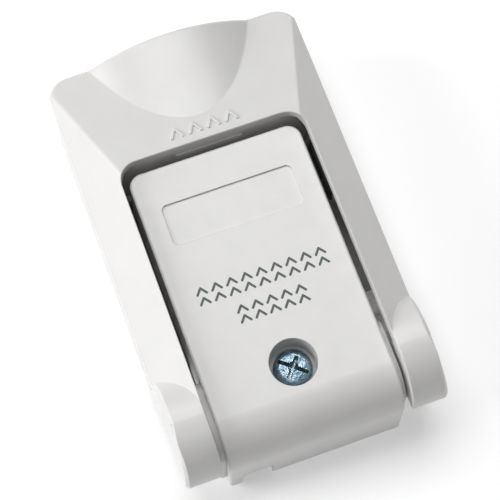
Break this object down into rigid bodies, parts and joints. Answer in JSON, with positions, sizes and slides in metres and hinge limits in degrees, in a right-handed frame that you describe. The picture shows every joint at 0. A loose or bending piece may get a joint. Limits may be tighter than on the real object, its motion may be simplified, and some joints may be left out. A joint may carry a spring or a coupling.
{
  "type": "emergency pull lever alarm switch",
  "caption": "Wall or under-desk alarm switch: a hinged frame round a screwed cover is pulled outwards at its hooded end to raise an emergency alarm.",
  "frame": {"origin": "centre of the overall footprint, on the wall plane", "axes": "+Z out of the wall, +Y towards the hooded pull end of the lever, +X to the right seen from the front"},
  "size_m": [0.054, 0.0888, 0.0242],
  "materials": {
    "base_plastic": "moulded white ABS, satin",
    "cover_plastic": "moulded white ABS, satin gloss",
    "lever_plastic": "moulded white ABS, satin gloss",
    "zinc_steel": "zinc plated, blue passivated",
    "steel": "bright drawn",
    "spring_steel": "rolled strip",
    "lead_wire": "tinned",
    "brass": "machined",
    "magnet": "sintered, ground, blue-grey",
    "board": "green solder mask",
    "terminal_plastic": "moulded dark plastic",
    "glass": "clear greenish glass"
  },
  "bodies": {
    "housing": {"base": "base_plastic", "front_cover": "cover_plastic", "cover_screw": "zinc_steel", "screw_insert": "brass", "hinge_pin_right": "steel", "hinge_pin_left": "steel", "detent_spring": "spring_steel", "detent_screw": "zinc_steel", "circuit_board": "board", "terminal_block": "terminal_plastic", "reed_glass": "glass", "board_screw_left": "zinc_steel", "board_screw_right": "zinc_steel", "terminal_screw_1": "zinc_steel", "wire_clamp_1": "brass", "terminal_screw_2": "zinc_steel", "wire_clamp_2": "brass", "terminal_screw_3": "zinc_steel", "wire_clamp_3": "brass", "reed_lead_common": "lead_wire", "reed_lead_closed": "lead_wire", "reed_lead_open": "lead_wire"},
    "lever": {"pull_lever": "lever_plastic", "lever_magnet": "magnet"}
  },
  "joints": [
    {"name": "lever_hinge", "type": "hinge", "parent": "housing", "child": "lever", "pos_m": [0, -0.0356, 0.009], "axis": [1, 0, 0], "range_deg": [0, 25]}
  ]
}
